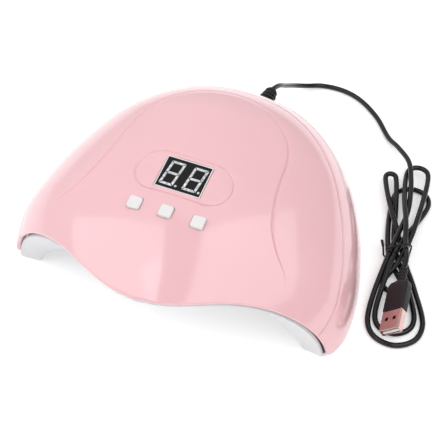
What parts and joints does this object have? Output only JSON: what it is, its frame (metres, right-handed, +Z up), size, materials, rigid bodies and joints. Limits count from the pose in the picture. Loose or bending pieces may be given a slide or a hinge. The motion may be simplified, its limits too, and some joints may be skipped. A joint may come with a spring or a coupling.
{
  "type": "uv led nail lamp",
  "caption": "Domed tabletop nail lamp with an arched hand opening, a digit display, push buttons and a coiled USB cord.",
  "frame": {"origin": "the bottom centre of the bounding box of the whole lamp, its coiled cord included", "axes": "+Z up, -Y out of the hand opening, +X to the side where the cord is coiled; the dome is symmetric about x = -0.018"},
  "size_m": [0.2254, 0.2372, 0.0777],
  "materials": {
    "pink_gloss": "glossy",
    "liner_white": "satin, reflective",
    "black_plastic": "satin",
    "segment_white": "matte, translucent",
    "button_white": "satin",
    "board_green": "lacquered board",
    "board_white": "lacquered strip board",
    "led_lens": "clear yellow lens",
    "screw_steel": "zinc plated",
    "rubber_grey": "matte",
    "black_rubber": "satin",
    "plated_steel": "bright plated",
    "tongue_white": "matte",
    "gold": "bright plated"
  },
  "bodies": {
    "root": {"top_cover": "pink_gloss", "rear_cover": "pink_gloss", "inner_liner": "liner_white", "display_housing": "black_plastic", "display_segments": "segment_white", "control_board": "board_green", "controller_chip": "black_plastic", "lead_connector": "button_white", "board_screw_1": "screw_steel", "board_screw_2": "screw_steel", "switch_left": "black_plastic", "switch_middle": "black_plastic", "switch_right": "black_plastic", "led_strip_1": "board_white", "led_strip_2": "board_white", "led_strip_3": "board_white", "led_bead_01": "led_lens", "led_bead_02": "led_lens", "led_bead_03": "led_lens", "led_bead_04": "led_lens", "led_bead_05": "led_lens", "led_bead_06": "led_lens", "led_bead_07": "led_lens", "led_bead_08": "led_lens", "led_bead_09": "led_lens", "led_bead_10": "led_lens", "led_bead_11": "led_lens", "led_bead_12": "led_lens", "skirt_screw_1": "screw_steel", "ceiling_screw_1": "screw_steel", "rubber_foot_1": "rubber_grey", "usb_contact_1": "gold", "skirt_screw_2": "screw_steel", "ceiling_screw_2": "screw_steel", "rubber_foot_2": "rubber_grey", "usb_contact_2": "gold", "skirt_screw_3": "screw_steel", "ceiling_screw_3": "screw_steel", "rubber_foot_3": "rubber_grey", "usb_contact_3": "gold", "skirt_screw_4": "screw_steel", "ceiling_screw_4": "screw_steel", "rubber_foot_4": "rubber_grey", "usb_contact_4": "gold", "strain_relief": "black_rubber", "usb_cord": "black_rubber", "usb_overmold": "black_rubber", "usb_shell": "plated_steel", "usb_tongue": "tongue_white", "twist_tie": "black_rubber"},
    "left_button": {"button_left": "button_white", "plunger_left": "black_plastic"},
    "middle_button": {"button_middle": "button_white", "plunger_middle": "black_plastic"},
    "right_button": {"button_right": "button_white", "plunger_right": "black_plastic"}
  },
  "joints": [
    {"name": "press_left_button", "type": "slide", "parent": "root", "child": "left_button", "axis": [0, 0.2164, -0.9763], "range_m": [0, 0.0004], "stiffness_N_per_m": 3000},
    {"name": "press_middle_button", "type": "slide", "parent": "root", "child": "middle_button", "axis": [0, 0.2164, -0.9763], "range_m": [0, 0.0004], "stiffness_N_per_m": 3000},
    {"name": "press_right_button", "type": "slide", "parent": "root", "child": "right_button", "axis": [0, 0.2164, -0.9763], "range_m": [0, 0.0004], "stiffness_N_per_m": 3000}
  ]
}
